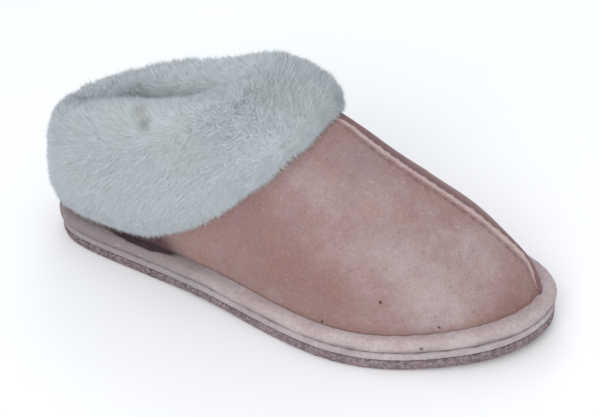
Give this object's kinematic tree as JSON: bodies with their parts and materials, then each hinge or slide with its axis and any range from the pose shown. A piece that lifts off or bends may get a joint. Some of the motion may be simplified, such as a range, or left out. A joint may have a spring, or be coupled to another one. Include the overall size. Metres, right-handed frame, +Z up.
{
  "type": "sheepskin slipper",
  "caption": "Right-foot sheepskin slipper with a suede upper sewn along a raised centre seam, a deep wool cuff round the collar, and a rolled platform on a dark outsole.",
  "frame": {"origin": "on the floor, under the middle of the whole slipper's box", "axes": "+X from heel to toe, +Y to the inner side of the foot, +Z up"},
  "size_m": [0.26, 0.1008, 0.1108],
  "materials": {
    "outsole": "matte, finely pitted",
    "welt": "matte",
    "platform": "soft nap, rolled edge",
    "insole": "sheared fleece",
    "upper": "suede",
    "wool_cuff": "deep wool"
  },
  "bodies": {
    "root": {"outsole": "outsole", "welt": "welt", "platform": "platform", "insole": "insole", "upper": "upper", "wool_cuff": "wool_cuff"}
  },
  "joints": []
}
